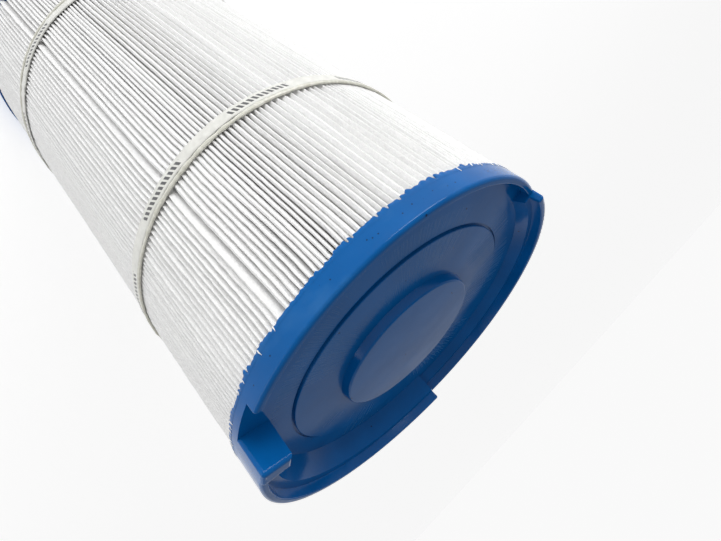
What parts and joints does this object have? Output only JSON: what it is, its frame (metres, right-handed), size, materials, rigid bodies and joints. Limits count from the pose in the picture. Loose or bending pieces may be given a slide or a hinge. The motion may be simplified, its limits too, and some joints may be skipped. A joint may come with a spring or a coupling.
{
  "type": "pleated filter cartridge",
  "caption": "Round pleated fabric filter cartridge with a closed blue end cap that has a stepped twist-in rim, an open end cap with a bore, a perforated core and retaining straps.",
  "frame": {"origin": "centre of the ring that the open end cap stands on", "axes": "+Z along the cartridge's axis, towards the closed end cap; the gap in the stepped rim faces between +X and -Y"},
  "size_m": [0.228, 0.228, 0.462],
  "materials": {
    "end_cap": "glossy moulded polyurethane",
    "core": "matt moulded",
    "media": "spunbond polyester",
    "strap": "satin",
    "adhesive": "glossy hot melt"
  },
  "bodies": {
    "root": {"closed_end_cap": "end_cap", "open_end_cap": "end_cap", "core_tube": "core", "pleated_media": "media", "media_seam_strip": "adhesive", "band_upper_strap": "strap", "band_upper_bead": "adhesive", "band_lower_strap": "strap", "band_lower_bead": "adhesive"}
  },
  "joints": []
}
